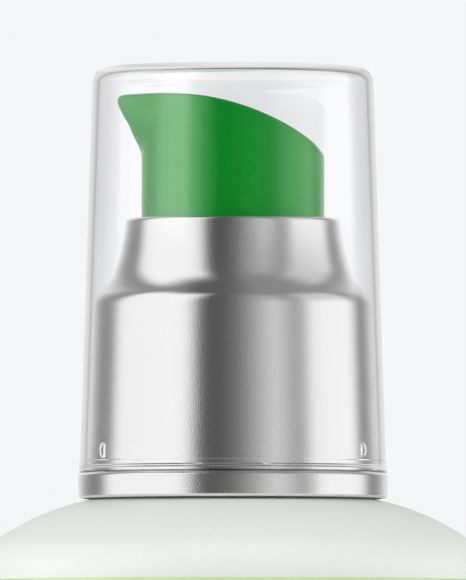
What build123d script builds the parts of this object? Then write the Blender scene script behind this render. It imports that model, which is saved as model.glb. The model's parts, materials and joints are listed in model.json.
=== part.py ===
"""Foundation bottle with a treatment pump: frosted glass bottle, screw closure with a metal collar,
spouted push actuator and a clear over-cap.  Millimetres, +Z up, origin at the centre of the base."""

from build123d import *

import os
from math import acos, asin, atan2, cos, degrees, pi, radians, sin, sqrt

os.makedirs("parts", exist_ok=True)

MARGIN = 1.0  # how far a cutting or trimming shape runs past what it cuts

# Bottle.  The shoulder is a wide arc centred inside the bottle, eased into the wall by a small one.
BODY_R = 20.37
WALL = 2.4
BASE_THICK = 6.0
PUSH_UP = 0.7  # height of the hollow under the base
HEEL_R = 2.6
STANDING_WIDTH = 1.2
SHOULDER_R = 20.56
SHOULDER_CENTRE = (7.24, 43.80)
EASE_ANGLE = 34.5  # degrees from the vertical where the wide arc meets the small one
EASE_R = 3.42
NECK_R = 8.85
NECK_BORE_R = 6.9
NECK_TOP = 75.6
NECK_FOOT_FILLET = 1.0

# Neck finish, a 20 mm screw thread of one and a half turns.
THREAD_PITCH = 3.175
THREAD_TURNS = 1.5
THREAD_CREST_R = 9.9
THREAD_START = 68.2
THREAD_ROOT_HALF = 0.95
THREAD_CREST_HALF = 0.45
THREAD_SINK = 0.25  # how far a thread ridge is buried in its wall

# Label.
LABEL_BOTTOM = 9.0
LABEL_TOP = 57.5
LABEL_THICK = 0.12
LABEL_SEAM = 4.0  # degrees left open at the back

# Gasket, pump housing and turret.
GASKET_R = 9.1
GASKET_THICK = 0.85
GASKET_GAP = 0.05
FLANGE_R = 9.2
FLANGE_THICK = 1.0
FLANGE_BOTTOM = NECK_TOP + GASKET_GAP + GASKET_THICK
FLANGE_TOP = FLANGE_BOTTOM + FLANGE_THICK
HOUSING_R = 4.9
CHAMBER_R = 3.9
HOUSING_TOP = 79.6
HOUSING_NECK_R = 4.75
VENT_R = 0.4
VENT_Z = 75.0
CHAMBER_FLOOR = 60.3
CHAMBER_BASE = 1.1  # height of the wall below the chamber's floor
CAGE_R = 2.0  # bore around the inlet ball
SEAT_HOLE_R = 1.1
SEAT_TOP = 57.9
SEAT_BOTTOM = 57.0
SOCKET_TOP = 55.5
SOCKET_BOTTOM = 49.5
SOCKET_WALL = 1.1
SOCKET_CROWN = 1.0  # height from the tube's end to the cone above it
TUBE_FIT = 0.02
TURRET_R = 6.0
TURRET_TOP = 80.6
TURRET_CHAMFER = 0.3
TURRET_GUIDE_R = 3.4
TURRET_GUIDE_BOTTOM = 73.2

# Dip tube.
TUBE_R = 1.6
TUBE_BORE_R = 1.0
TUBE_BOTTOM = 7.6
TUBE_CUT_ANGLE = 40.0

# Stem and piston.
STEM_R = 2.4
STEM_BORE_R = 1.1
STEM_SPIGOT_R = 1.8
STEM_BOTTOM = 69.2
SPIGOT_TOP = 72.2
STEM_TOP = 90.7
STEM_POCKET_R = 1.7
OUTLET_SEAT_BOTTOM = 87.9
OUTLET_SEAT_TOP = 88.5
STEM_CLEARANCE = 0.05  # radial, in the turret
PISTON_CLEARANCE = 0.02
PISTON_SLEEVE_R = 2.8
PISTON_GROOVE_R = 2.95
PISTON_WEB_R = 3.45
PISTON_GROOVE = 0.6  # depth of the groove behind each wiping lip
PISTON_LIP = 0.4  # thickness of a lip at its edge
PISTON_LIP_WIDTH = 0.3
RETAINER_R = 3.3
RETAINER_BOTTOM = 68.4
RETAINER_HOLE_R = 0.6

# Balls.
INLET_BALL_R = 1.5
OUTLET_BALL_R = 1.4
SEAT_GAP = 0.02  # between a resting ball and its seat

# Return spring, between the spring seat and the piston retainer.
SPRING_SEAT_THICK = 0.8
SEAT_SLOTS = 3
SEAT_SLOT_WIDTH = 0.8
SPRING_WIRE_R = 0.23
SPRING_R = 2.7
SPRING_TURNS = 5.0

# Inner closure and metal collar.
CLOSURE_BORE_R = 10.15
CLOSURE_THREAD_R = 9.2
CLOSURE_BOTTOM = 64.6
CLAMP_GAP = 0.1
CLOSURE_PLATE_BOTTOM = FLANGE_TOP + CLAMP_GAP
CLOSURE_TOP = 78.8
TURRET_FIT = 0.08
CLOSURE_HOLE_R = TURRET_R + TURRET_FIT
SHELL_THICK = 0.4
CLOSURE_FIT = 0.02
RING_R = 12.38
RING_BOTTOM = 64.0
RING_TOP = 66.0
RING_ROUND = 0.28
COLLAR_FOOT_R = 11.5  # outside, where the collar leaves the ring
COLLAR_HEAD_R = 11.06  # outside, below the rounded shoulder
COLLAR_HEAD = 79.3
COLLAR_ROUND = 1.5
FLARE_TILTS = (44.0, 19.5)  # degrees the wall leans in, where the shoulder's arcs meet
FLARE_STRAIGHT = 0.3
FLARE_RADII = (4.4, 16.6)  # the hollow arcs above the shoulder
LIP_TOP = 86.4
LIP_ROUND = 0.38
LIP_ROUND_INSIDE = 0.1
LIP_HOLE_R = 7.45

# Actuator.
ACTUATOR_R = 7.32
ACTUATOR_BOTTOM = 83.4
SKIRT_R = 6.5
CEILING = 91.0
SOCKET_R = 3.9
SOCKET_FOOT = 85.2
SOCKET_GAP = 0.03
BACK_TOP = (7.5, 91.35)
CROWN = [(6.18, 92.56), (3.78, 94.0), (0.9, 95.2), (-1.98, 95.95), (-4.86, 96.27), (-7.8, 96.34)]
CHIN_Z = 91.74  # where the straight underside of the beak would meet the wall
CHIN_BLEND = 0.5  # half the height over which the wall bends out into the beak
BEAK_SLOPE = 0.508  # how far the beak reaches out for each millimetre of height
BEAK_TIP_R = 2.0  # roundness of the beak seen from above
BEAK_LEVELS = [ACTUATOR_BOTTOM, 91.24, 91.5, 91.75, 92.0, 92.3, 93.2, 95.0, 97.2]
OUTLINE_POINTS = 60
NOSE_ROUND = 0.75
TRIM_GAP = 0.03  # how far the trimming outline stays outside the beak's underside
TRIM_DROP = 3.0  # how far down it follows that underside
TRIM_STEP = 0.2
CHANNEL_Z = 93.9
CHANNEL_R = 0.5
RISER_R = 1.0
BLEED_SLOT = (3.6, 0.8, 1.2)  # cut across the ceiling, so that the ball never shuts the riser
NOZZLE_R = 0.6
NOZZLE_FRONT = -7.9
NOZZLE_BACK = -5.0
NOZZLE_HOLE_R = 0.3

# Over-cap.
CAP_BOTTOM = 66.12
CAP_FOOT_R = 12.27
CAP_HEAD_R = 11.27
CAP_HEAD = 97.25
CAP_TOP = 98.7
CAP_CROWN = 0.15
CAP_WALL = 0.58
CAP_TOP_THICK = 0.5
CAP_BEAD = 0.06
CAP_BEAD_TOP = 67.02
CAP_STEPS = [(11.93, 66.42), (11.8, 66.6)]
RIB_HALF = 0.3
RIB_BOTTOM = 67.05
RIB_TOP = 68.4
RIB_REACH_R = 11.47
RIB_DEPTH = 0.4


def closed(points):
    """Return the face inside a closed run of (radius, height) points in the XZ plane."""
    with BuildSketch(Plane.XZ) as face:
        with BuildLine():
            Polyline(*points, close=True)
        make_face()
    return face.sketch


def washer(inner, outer, bottom, top):
    """Return the XZ face of a plain ring."""
    return closed([(inner, bottom), (outer, bottom), (outer, top), (inner, top)])


def corner_near(builder, point):
    """Return the corner of a sketch in progress that is nearest to a local point."""
    return builder.vertices().sort_by_distance((point[0], point[1], 0))[0]


def arc_point(centre, radius, angle):
    """Return the point on an arc at an angle in degrees from the vertical."""
    return (centre[0] + radius * sin(radians(angle)), centre[1] + radius * cos(radians(angle)))


def round_edges(builder, radius):
    """Return the circular edges of a part in progress that have a given radius."""
    circles = builder.edges().filter_by(GeomType.CIRCLE)
    return circles.filter_by(lambda edge: abs(edge.radius - radius) < 1e-4)


def dome_middle(rim, low, top):
    """Return a middle point of the arc, centred on the axis, from (rim, low) to (0, top)."""
    rise = top - low
    radius = (rim * rim + rise * rise) / (2 * rise)
    return (0.5 * rim, top - radius + sqrt(radius * radius - 0.25 * rim * rim))


def shoulder_height(radius, depth):
    """Return the height of the shoulder arc, moved inward by depth, at a radius."""
    return SHOULDER_CENTRE[1] + sqrt((SHOULDER_R - depth) ** 2 - (radius - SHOULDER_CENTRE[0]) ** 2)


def bottle_face(depth, bottom, heel, neck):
    """Return half of the bottle's outline moved inward by depth, from the axis to the neck."""
    wide = SHOULDER_R - depth
    ease = EASE_R - depth
    body = BODY_R - depth
    start = (neck, shoulder_height(neck, depth))
    meet = arc_point(SHOULDER_CENTRE, wide, EASE_ANGLE)
    ease_centre = (meet[0] - ease * sin(radians(EASE_ANGLE)), meet[1] - ease * cos(radians(EASE_ANGLE)))
    ease_middle = arc_point(ease_centre, ease, 0.5 * (EASE_ANGLE + 90))
    with BuildSketch(Plane.XZ) as face:
        with BuildLine():
            Line((0, bottom), (body - heel, bottom))
            RadiusArc((body - heel, bottom), (body, bottom + heel), -heel)
            Line((body, bottom + heel), (body, ease_centre[1]))
            ThreePointArc((body, ease_centre[1]), ease_middle, meet)
            ThreePointArc(meet, arc_point(SHOULDER_CENTRE, wide, 0.5 * EASE_ANGLE), start)
            Polyline(start, (neck, NECK_TOP), (0, NECK_TOP), (0, bottom))
        make_face()
        fillet(corner_near(face, start), NECK_FOOT_FILLET)
    return face.sketch


def push_up_face():
    """Return the face of the shallow hollow under the base."""
    rim = BODY_R - HEEL_R - STANDING_WIDTH
    with BuildSketch(Plane.XZ) as face:
        with BuildLine():
            Polyline((0, PUSH_UP), (0, -MARGIN), (rim, -MARGIN), (rim, 0))
            ThreePointArc((rim, 0), dome_middle(rim, 0, PUSH_UP), (0, PUSH_UP))
        make_face()
    return face.sketch


def ridge(wall, crest, start):
    """Return a helical thread ridge from a wall radius to a crest radius, starting at a height."""
    inward = -1 if crest < wall else 1
    path = Pos(0, 0, start) * Helix(THREAD_PITCH, THREAD_TURNS * THREAD_PITCH, wall)
    with BuildSketch(Plane(origin=path @ 0, x_dir=(inward, 0, 0), z_dir=path % 0)) as tooth:
        with BuildLine():
            Polyline(
                (-THREAD_SINK, -THREAD_ROOT_HALF),
                (abs(crest - wall), -THREAD_CREST_HALF),
                (abs(crest - wall), THREAD_CREST_HALF),
                (-THREAD_SINK, THREAD_ROOT_HALF),
                close=True,
            )
        make_face()
    return sweep(tooth.sketch, path=path, is_frenet=True)


def collar_radius(height, depth=0.0):
    """Return the collar's outside radius on its tapered part, moved inward by depth."""
    share = (height - RING_TOP) / (COLLAR_HEAD - RING_TOP)
    return COLLAR_FOOT_R + share * (COLLAR_HEAD_R - COLLAR_FOOT_R) - depth


def leaning(start, reach, tilt):
    """Return the point a distance out from a start, along the normal of a wall that leans in by a tilt."""
    return (start[0] + reach * cos(radians(tilt)), start[1] + reach * sin(radians(tilt)))


def collar_face(depth):
    """Return half of the collar's outline moved inward by depth, down to the open bottom."""
    bottom = RING_BOTTOM
    ring_top = RING_TOP - depth
    steep, upright = FLARE_TILTS
    turn = COLLAR_ROUND - depth
    turn_centre = (COLLAR_HEAD_R - COLLAR_ROUND, COLLAR_HEAD)
    low, high = (radius + depth for radius in FLARE_RADII)
    straight_end = leaning(leaning(turn_centre, COLLAR_ROUND, steep), FLARE_STRAIGHT, steep + 90)
    low_centre = leaning(straight_end, FLARE_RADII[0], steep)
    high_centre = leaning(low_centre, FLARE_RADII[1] - FLARE_RADII[0], upright)
    lip_top = LIP_TOP - depth
    lip_round = max(LIP_ROUND - depth, LIP_ROUND_INSIDE)
    lip_tilt = degrees(asin((high_centre[1] - lip_top + lip_round) / high))
    lip = leaning(high_centre, -high, lip_tilt)
    with BuildSketch(Plane.XZ) as face:
        with BuildLine():
            Line((0, bottom), (RING_R - depth, bottom))
            Line((RING_R - depth, bottom), (RING_R - depth, ring_top))
            Line((RING_R - depth, ring_top), (collar_radius(ring_top, depth), ring_top))
            Line((collar_radius(ring_top, depth), ring_top), leaning(turn_centre, turn, 0))
            ThreePointArc(
                leaning(turn_centre, turn, 0),
                leaning(turn_centre, turn, 0.5 * steep),
                leaning(turn_centre, turn, steep),
            )
            Line(leaning(turn_centre, turn, steep), leaning(low_centre, -low, steep))
            ThreePointArc(
                leaning(low_centre, -low, steep),
                leaning(low_centre, -low, 0.5 * (steep + upright)),
                leaning(low_centre, -low, upright),
            )
            ThreePointArc(
                leaning(high_centre, -high, upright),
                leaning(high_centre, -high, 0.5 * (upright + lip_tilt)),
                lip,
            )
            RadiusArc(lip, (lip[0] - lip_round, lip_top), -lip_round)
            Polyline((lip[0] - lip_round, lip_top), (0, lip_top), (0, bottom))
        make_face()
    return face.sketch


def beak_reach(height):
    """Return how far the beak's tip is from the axis at a height; the wall's radius below the beak."""
    rise = height - CHIN_Z
    if rise < -CHIN_BLEND:
        return ACTUATOR_R
    if rise > CHIN_BLEND:
        return ACTUATOR_R + BEAK_SLOPE * rise
    return ACTUATOR_R + BEAK_SLOPE * (rise + CHIN_BLEND) ** 2 / (4 * CHIN_BLEND)


def beak_outline(height):
    """Return the actuator's outline at a height: the wall and a small tip circle with a tight loop round."""
    tip = beak_reach(height) - BEAK_TIP_R
    lean = acos(min((ACTUATOR_R - BEAK_TIP_R) / tip, 1.0))
    points = []
    for step in range(OUTLINE_POINTS):
        angle = 2 * pi * (step + 0.5) / OUTLINE_POINTS - pi
        away = abs(pi - abs(angle))
        span_root = atan2(ACTUATOR_R * sin(lean), ACTUATOR_R * cos(lean))
        span_tip = atan2(BEAK_TIP_R * sin(lean), tip + BEAK_TIP_R * cos(lean))
        if away >= span_root:
            reach = ACTUATOR_R
        elif away > span_tip:
            reach = ACTUATOR_R / cos(span_root - away)
        else:
            reach = tip * cos(away) + sqrt(BEAK_TIP_R**2 - (tip * sin(away)) ** 2)
        points.append((reach * cos(angle), reach * sin(angle), height))
    return Face(Wire([Spline(*points, periodic=True)]))


def crown_side():
    """Return the side outline that trims the actuator's top and rounds the end of its beak."""
    top = CROWN[-1][1]
    under = beak_reach(top) + TRIM_GAP
    low = (-under + BEAK_SLOPE * TRIM_DROP, top - TRIM_DROP)
    clear = (-under - MARGIN, ACTUATOR_BOTTOM - MARGIN)
    back = ACTUATOR_R + MARGIN
    with BuildSketch(Plane.XZ) as face:
        with BuildLine():
            Spline(BACK_TOP, *CROWN, tangents=((-1, 1.05), (-1, 0)))
            Polyline(CROWN[-1], (-under, top), low, (clear[0], low[1] - TRIM_STEP), clear)
            Polyline(clear, (back, clear[1]), (back, BACK_TOP[1] - MARGIN), BACK_TOP)
        make_face()
        fillet(corner_near(face, (-under, top)), NOSE_ROUND)
    return face.sketch


def core_points():
    """Return the (radius, height) outline of the hollow under the actuator, its stem socket and riser."""
    socket_bore = STEM_R + SOCKET_GAP
    below = ACTUATOR_BOTTOM - MARGIN
    return [
        (0, below), (SKIRT_R, below), (SKIRT_R, CEILING), (SOCKET_R, CEILING), (SOCKET_R, SOCKET_FOOT),
        (socket_bore, SOCKET_FOOT), (socket_bore, CEILING), (RISER_R, CEILING), (RISER_R, CHANNEL_Z),
        (0, CHANNEL_Z),
    ]


def cap_face():
    """Return half of the over-cap's section."""
    slope = (CAP_HEAD_R - CAP_FOOT_R) / (CAP_HEAD - CAP_BOTTOM)
    bead_r = CAP_FOOT_R + slope * (CAP_BEAD_TOP - CAP_BOTTOM)
    inside_top = CAP_TOP - CAP_TOP_THICK
    turn = CAP_TOP - CAP_CROWN - CAP_HEAD
    rim = CAP_HEAD_R - turn
    rim_top = CAP_HEAD + turn
    inside_rim = (rim, inside_top - CAP_CROWN)
    step_one, step_two = CAP_STEPS
    wall_foot = (CAP_FOOT_R + slope * (step_two[1] - CAP_BOTTOM) - CAP_WALL, step_two[1])
    with BuildSketch(Plane.XZ) as face:
        with BuildLine():
            Polyline(
                (CAP_FOOT_R + CAP_BEAD, CAP_BOTTOM), (bead_r + CAP_BEAD, CAP_BEAD_TOP - CAP_BEAD),
                (bead_r, CAP_BEAD_TOP), (CAP_HEAD_R, CAP_HEAD),
            )
            RadiusArc((CAP_HEAD_R, CAP_HEAD), (rim, rim_top), -turn)
            ThreePointArc((rim, rim_top), dome_middle(rim, rim_top, CAP_TOP), (0, CAP_TOP))
            Line((0, CAP_TOP), (0, inside_top))
            ThreePointArc((0, inside_top), dome_middle(*inside_rim, inside_top), inside_rim)
            RadiusArc(inside_rim, (CAP_HEAD_R - CAP_WALL, CAP_HEAD), turn - CAP_WALL)
            Polyline(
                (CAP_HEAD_R - CAP_WALL, CAP_HEAD), wall_foot, (step_two[0], step_two[1]),
                (step_two[0], step_one[1]), step_one, (step_one[0], CAP_BOTTOM),
                (CAP_FOOT_R + CAP_BEAD, CAP_BOTTOM),
            )
        make_face()
    return face.sketch


def rib():
    """Return a lens-shaped grip rib that stands in from the over-cap's wall, on the X axis."""
    root = RIB_REACH_R + RIB_DEPTH
    with BuildSketch(Plane.XZ) as face:
        with BuildLine():
            ThreePointArc((root, RIB_BOTTOM), (RIB_REACH_R, 0.5 * (RIB_BOTTOM + RIB_TOP)), (root, RIB_TOP))
            Line((root, RIB_TOP), (root, RIB_BOTTOM))
        make_face()
    return extrude(face.sketch, RIB_HALF, both=True)


def ball_rest(radius, hole, low, high, pocket):
    """Return the height of a ball that sits, just clear, on a conical seat."""
    slope = (high - low) / (pocket - hole)
    return low - slope * hole + (radius + SEAT_GAP) * sqrt(1 + slope * slope)


# Bottle: body, shoulder and threaded neck in one piece of frosted glass.
with BuildPart() as bottle:
    revolve(bottle_face(0, 0, HEEL_R, NECK_R), axis=Axis.Z)
    revolve(bottle_face(WALL, BASE_THICK, HEEL_R, NECK_BORE_R), axis=Axis.Z, mode=Mode.SUBTRACT)
    revolve(push_up_face(), axis=Axis.Z, mode=Mode.SUBTRACT)
    add(ridge(NECK_R, THREAD_CREST_R, THREAD_START))

# Label: wraps round the body and stops short of itself at the back.
with BuildPart() as label:
    strip = washer(BODY_R, BODY_R + LABEL_THICK, LABEL_BOTTOM, LABEL_TOP)
    revolve(Rot(0, 0, 90 + LABEL_SEAM / 2) * strip, axis=Axis.Z, revolution_arc=360 - LABEL_SEAM)

# Gasket between the neck and the pump's flange.
with BuildPart() as neck_gasket:
    revolve(washer(HOUSING_R, GASKET_R, FLANGE_BOTTOM - GASKET_THICK, FLANGE_BOTTOM), axis=Axis.Z)

# Pump housing: chamber, flange, inlet seat and the socket for the dip tube.
with BuildPart() as pump_housing:
    socket_r = TUBE_R + SOCKET_WALL
    tube_hole = TUBE_R + TUBE_FIT
    housing_points = [
        (FLANGE_R, FLANGE_BOTTOM), (FLANGE_R, FLANGE_TOP), (HOUSING_NECK_R, FLANGE_TOP),
        (HOUSING_NECK_R, HOUSING_TOP), (CHAMBER_R, HOUSING_TOP), (CHAMBER_R, CHAMBER_FLOOR),
        (CAGE_R, CHAMBER_FLOOR), (CAGE_R, SEAT_TOP), (SEAT_HOLE_R, SEAT_BOTTOM), (SEAT_HOLE_R, SOCKET_TOP),
        (tube_hole, SOCKET_TOP), (tube_hole, SOCKET_BOTTOM), (socket_r, SOCKET_BOTTOM),
        (socket_r, SOCKET_TOP + SOCKET_CROWN), (HOUSING_R, CHAMBER_FLOOR - CHAMBER_BASE),
        (HOUSING_R, FLANGE_BOTTOM),
    ]
    revolve(closed(housing_points), axis=Axis.Z)
    with Locations(Location((HOUSING_R, 0, VENT_Z), (0, 90, 0))):
        Cylinder(VENT_R, 4 * (HOUSING_R - CHAMBER_R), mode=Mode.SUBTRACT)

# Turret: snaps onto the housing and guides the stem.
with BuildPart() as turret:
    guide_r = STEM_R + STEM_CLEARANCE
    turret_points = [
        (guide_r, TURRET_GUIDE_BOTTOM), (TURRET_GUIDE_R, TURRET_GUIDE_BOTTOM), (TURRET_GUIDE_R, HOUSING_TOP),
        (HOUSING_NECK_R, HOUSING_TOP), (HOUSING_NECK_R, FLANGE_TOP), (TURRET_R, FLANGE_TOP),
        (TURRET_R, TURRET_TOP), (guide_r, TURRET_TOP),
    ]
    revolve(closed(turret_points), axis=Axis.Z)
    chamfer(round_edges(turret, TURRET_R).sort_by(Axis.Z)[-1], TURRET_CHAMFER)

# Spring seat: slotted ring over the inlet ball that carries the return spring.
with BuildPart() as spring_seat:
    revolve(washer(SEAT_HOLE_R, CHAMBER_R, CHAMBER_FLOOR, CHAMBER_FLOOR + SPRING_SEAT_THICK), axis=Axis.Z)
    with Locations((0, 0, CHAMBER_FLOOR + SPRING_SEAT_THICK / 2)):
        with PolarLocations(CAGE_R / 2, SEAT_SLOTS):
            Box(CAGE_R, SEAT_SLOT_WIDTH, 2 * SPRING_SEAT_THICK, mode=Mode.SUBTRACT)

# Inlet ball.
with BuildPart() as inlet_ball:
    with Locations((0, 0, ball_rest(INLET_BALL_R, SEAT_HOLE_R, SEAT_BOTTOM, SEAT_TOP, CAGE_R))):
        Sphere(INLET_BALL_R)

# Dip tube, cut on the slant at its foot.
with BuildPart() as dip_tube:
    revolve(washer(TUBE_BORE_R, TUBE_R, TUBE_BOTTOM, SOCKET_TOP), axis=Axis.Z)
    below_cut = (Align.CENTER, Align.CENTER, Align.MAX)
    with Locations(Location((TUBE_R, 0, TUBE_BOTTOM), (0, TUBE_CUT_ANGLE, 0))):
        Box(8 * TUBE_R, 4 * TUBE_R, 2 * TUBE_R, mode=Mode.SUBTRACT, align=below_cut)

# Return spring.
with BuildPart() as return_spring:
    spring_foot = CHAMBER_FLOOR + SPRING_SEAT_THICK + SPRING_WIRE_R
    spring_rise = RETAINER_BOTTOM - SPRING_WIRE_R - spring_foot
    coil = Pos(0, 0, spring_foot) * Helix(spring_rise / SPRING_TURNS, spring_rise, SPRING_R)
    with BuildSketch(Plane(origin=coil @ 0, z_dir=coil % 0)):
        Circle(SPRING_WIRE_R)
    sweep(path=coil, is_frenet=True)

# Stem: hollow plunger with the outlet seat near its top.
with BuildPart() as stem:
    stem_points = [
        (STEM_BORE_R, STEM_BOTTOM), (STEM_SPIGOT_R, STEM_BOTTOM), (STEM_SPIGOT_R, SPIGOT_TOP),
        (STEM_R, SPIGOT_TOP), (STEM_R, STEM_TOP), (STEM_POCKET_R, STEM_TOP),
        (STEM_POCKET_R, OUTLET_SEAT_TOP), (STEM_BORE_R, OUTLET_SEAT_BOTTOM),
    ]
    revolve(closed(stem_points), axis=Axis.Z)

# Piston: two wiping lips on a sleeve that grips the stem's spigot.
with BuildPart() as piston:
    lip_r = CHAMBER_R - PISTON_CLEARANCE
    middle = 0.5 * (STEM_BOTTOM + SPIGOT_TOP)
    lower = [
        (STEM_SPIGOT_R, STEM_BOTTOM), (PISTON_SLEEVE_R, STEM_BOTTOM),
        (PISTON_GROOVE_R, STEM_BOTTOM + PISTON_GROOVE), (lip_r - PISTON_LIP, STEM_BOTTOM),
        (lip_r, STEM_BOTTOM), (lip_r, STEM_BOTTOM + PISTON_LIP_WIDTH), (PISTON_WEB_R, middle),
    ]
    upper = [(radius, 2 * middle - height) for radius, height in reversed(lower[:-1])]
    revolve(closed(lower + upper), axis=Axis.Z)

# Piston retainer: plugs the stem's foot, holds the piston on and takes the spring's push.
with BuildPart() as piston_retainer:
    retainer_points = [
        (RETAINER_HOLE_R, RETAINER_BOTTOM), (RETAINER_R, RETAINER_BOTTOM), (RETAINER_R, STEM_BOTTOM),
        (STEM_BORE_R, STEM_BOTTOM), (STEM_BORE_R, SPIGOT_TOP), (RETAINER_HOLE_R, SPIGOT_TOP),
    ]
    revolve(closed(retainer_points), axis=Axis.Z)

# Outlet ball, in the pocket at the top of the stem.
with BuildPart() as outlet_ball:
    outlet_rest = ball_rest(OUTLET_BALL_R, STEM_BORE_R, OUTLET_SEAT_BOTTOM, OUTLET_SEAT_TOP, STEM_POCKET_R)
    with Locations((0, 0, outlet_rest)):
        Sphere(OUTLET_BALL_R)

# Inner closure: threaded plastic cap that clamps the pump's flange down on the neck.
with BuildPart() as inner_closure:
    foot_top = RING_TOP - SHELL_THICK
    grip = SHELL_THICK + CLOSURE_FIT
    closure_points = [
        (CLOSURE_BORE_R, CLOSURE_BOTTOM), (RING_R - grip, CLOSURE_BOTTOM), (RING_R - grip, foot_top),
        (collar_radius(foot_top, grip), foot_top), (collar_radius(CLOSURE_TOP, grip), CLOSURE_TOP),
        (CLOSURE_HOLE_R, CLOSURE_TOP), (CLOSURE_HOLE_R, CLOSURE_PLATE_BOTTOM),
        (CLOSURE_BORE_R, CLOSURE_PLATE_BOTTOM),
    ]
    revolve(closed(closure_points), axis=Axis.Z)
    add(ridge(CLOSURE_BORE_R, CLOSURE_THREAD_R, THREAD_START - THREAD_PITCH / 2))

# Collar shell: one drawn aluminium skin from the lip round the actuator down to the base ring.
with BuildPart() as collar_shell:
    revolve(collar_face(0), axis=Axis.Z)
    revolve(collar_face(SHELL_THICK), axis=Axis.Z, mode=Mode.SUBTRACT)
    with Locations((0, 0, LIP_TOP)):
        Cylinder(LIP_HOLE_R, 4 * SHELL_THICK, mode=Mode.SUBTRACT)
    fillet(round_edges(collar_shell, RING_R), RING_ROUND)

# Actuator: hollow button with a beak, a socket for the stem and a channel to the nozzle.
with BuildPart() as actuator:
    upright = (Align.CENTER, Align.CENTER, Align.MIN)
    add(loft([beak_outline(height) for height in BEAK_LEVELS], ruled=True))
    extrude(crown_side(), 2 * ACTUATOR_R, both=True, mode=Mode.INTERSECT)
    revolve(closed(core_points()), axis=Axis.Z, mode=Mode.SUBTRACT)
    with Locations(Location((0, 0, CHANNEL_Z), (0, -90, 0))):
        Cylinder(CHANNEL_R, ACTUATOR_R, align=upright, mode=Mode.SUBTRACT)
    with Locations(Location((NOZZLE_BACK, 0, CHANNEL_Z), (0, -90, 0))):
        Cylinder(NOZZLE_R, ACTUATOR_R, align=upright, mode=Mode.SUBTRACT)
    with Locations((0, 0, CEILING)):
        Box(*BLEED_SLOT, mode=Mode.SUBTRACT)

# Nozzle insert, set back inside the beak.
with BuildPart() as nozzle_insert:
    with Locations(Location((NOZZLE_BACK, 0, CHANNEL_Z), (0, -90, 0))):
        nozzle_length = NOZZLE_BACK - NOZZLE_FRONT
        Cylinder(NOZZLE_R, nozzle_length, align=upright)
        Cylinder(NOZZLE_HOLE_R, nozzle_length, align=upright, mode=Mode.SUBTRACT)

# Over-cap: clear, slightly tapered, with a stepped rim and three small grip ribs.
with BuildPart() as over_cap:
    revolve(cap_face(), axis=Axis.Z)
    add([Rot(0, 0, 90 + turn) * rib() for turn in (0, 120, 240)])

PIECES = {
    "bottle": bottle,
    "label": label,
    "neck_gasket": neck_gasket,
    "pump_housing": pump_housing,
    "turret": turret,
    "spring_seat": spring_seat,
    "inlet_ball": inlet_ball,
    "dip_tube": dip_tube,
    "return_spring": return_spring,
    "stem": stem,
    "piston": piston,
    "piston_retainer": piston_retainer,
    "outlet_ball": outlet_ball,
    "inner_closure": inner_closure,
    "collar_shell": collar_shell,
    "actuator": actuator,
    "nozzle_insert": nozzle_insert,
    "over_cap": over_cap,
}
for piece_name, piece in PIECES.items():
    piece.part.label = piece_name
    export_step(piece.part, f"parts/{piece_name}.step")
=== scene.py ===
"""Looks for the foundation bottle: a frosted bottle with a satin metal collar, a green spouted pump head
and a clear over-cap, in a pale studio.  Metres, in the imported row's frame."""

import json
from math import acos, asin, atan2, cos, degrees, dist, exp, pi, radians, sin, sqrt

import bpy
import numpy as np
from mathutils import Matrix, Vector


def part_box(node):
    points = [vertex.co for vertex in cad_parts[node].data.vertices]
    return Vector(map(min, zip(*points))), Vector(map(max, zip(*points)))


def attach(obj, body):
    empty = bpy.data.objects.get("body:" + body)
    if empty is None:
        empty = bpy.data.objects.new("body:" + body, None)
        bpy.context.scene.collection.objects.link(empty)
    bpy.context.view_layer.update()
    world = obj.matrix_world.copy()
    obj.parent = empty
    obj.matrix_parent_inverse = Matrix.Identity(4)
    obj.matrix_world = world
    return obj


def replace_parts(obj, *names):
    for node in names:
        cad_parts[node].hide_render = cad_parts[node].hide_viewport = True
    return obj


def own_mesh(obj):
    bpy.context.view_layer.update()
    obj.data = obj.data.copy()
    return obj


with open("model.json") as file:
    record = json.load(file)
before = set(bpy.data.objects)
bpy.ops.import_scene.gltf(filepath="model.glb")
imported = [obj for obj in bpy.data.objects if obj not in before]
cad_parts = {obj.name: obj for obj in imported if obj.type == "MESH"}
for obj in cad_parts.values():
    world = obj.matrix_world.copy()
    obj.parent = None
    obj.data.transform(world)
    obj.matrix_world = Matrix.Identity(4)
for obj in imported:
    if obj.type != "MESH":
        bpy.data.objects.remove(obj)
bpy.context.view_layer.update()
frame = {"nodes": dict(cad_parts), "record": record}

MM = 0.001
AROUND = 256  # steps round a turned piece
SHARP = radians(32)  # edges with a larger angle than this are drawn sharp
NECK_R = 8.85 * MM  # outside of the bottle's neck, without its thread
FOOT_DROP = 0.1 * MM  # the cap's foot reaches this far below the CAD one, to just above the ring
CAP_SLOPE = -1.0 / 31.13  # change of the cap's radius with height
CAP_WALL = 0.58 * MM
SAME_POINT = 1e-8  # outline points closer than this are one point
ON_AXIS = 1e-9  # outline points nearer the axis than this lie on it

# Places taken from the CAD boxes.
ring_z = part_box("collar_shell")[0].z
collar_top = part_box("collar_shell")[1].z
ring_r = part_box("collar_shell")[1].x
head_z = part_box("actuator")[0].z
head_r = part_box("actuator")[1].x
cap_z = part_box("over_cap")[0].z
cap_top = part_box("over_cap")[1].z
cap_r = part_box("over_cap")[1].x
body_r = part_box("bottle")[1].x
neck_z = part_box("bottle")[1].z
label_low, label_high = (corner.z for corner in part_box("label"))
label_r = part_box("label")[1].x
spring_low, spring_high = (corner.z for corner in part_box("return_spring"))


# ---------------------------------------------------------------- shader helpers


def new_material(name):
    """Return a new material, its node tree and its output node, with the default shader removed."""
    mat = bpy.data.materials.new(name)
    mat.use_nodes = True
    tree = mat.node_tree
    tree.nodes.clear()
    out = tree.nodes.new("ShaderNodeOutputMaterial")
    return mat, tree, out


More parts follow.
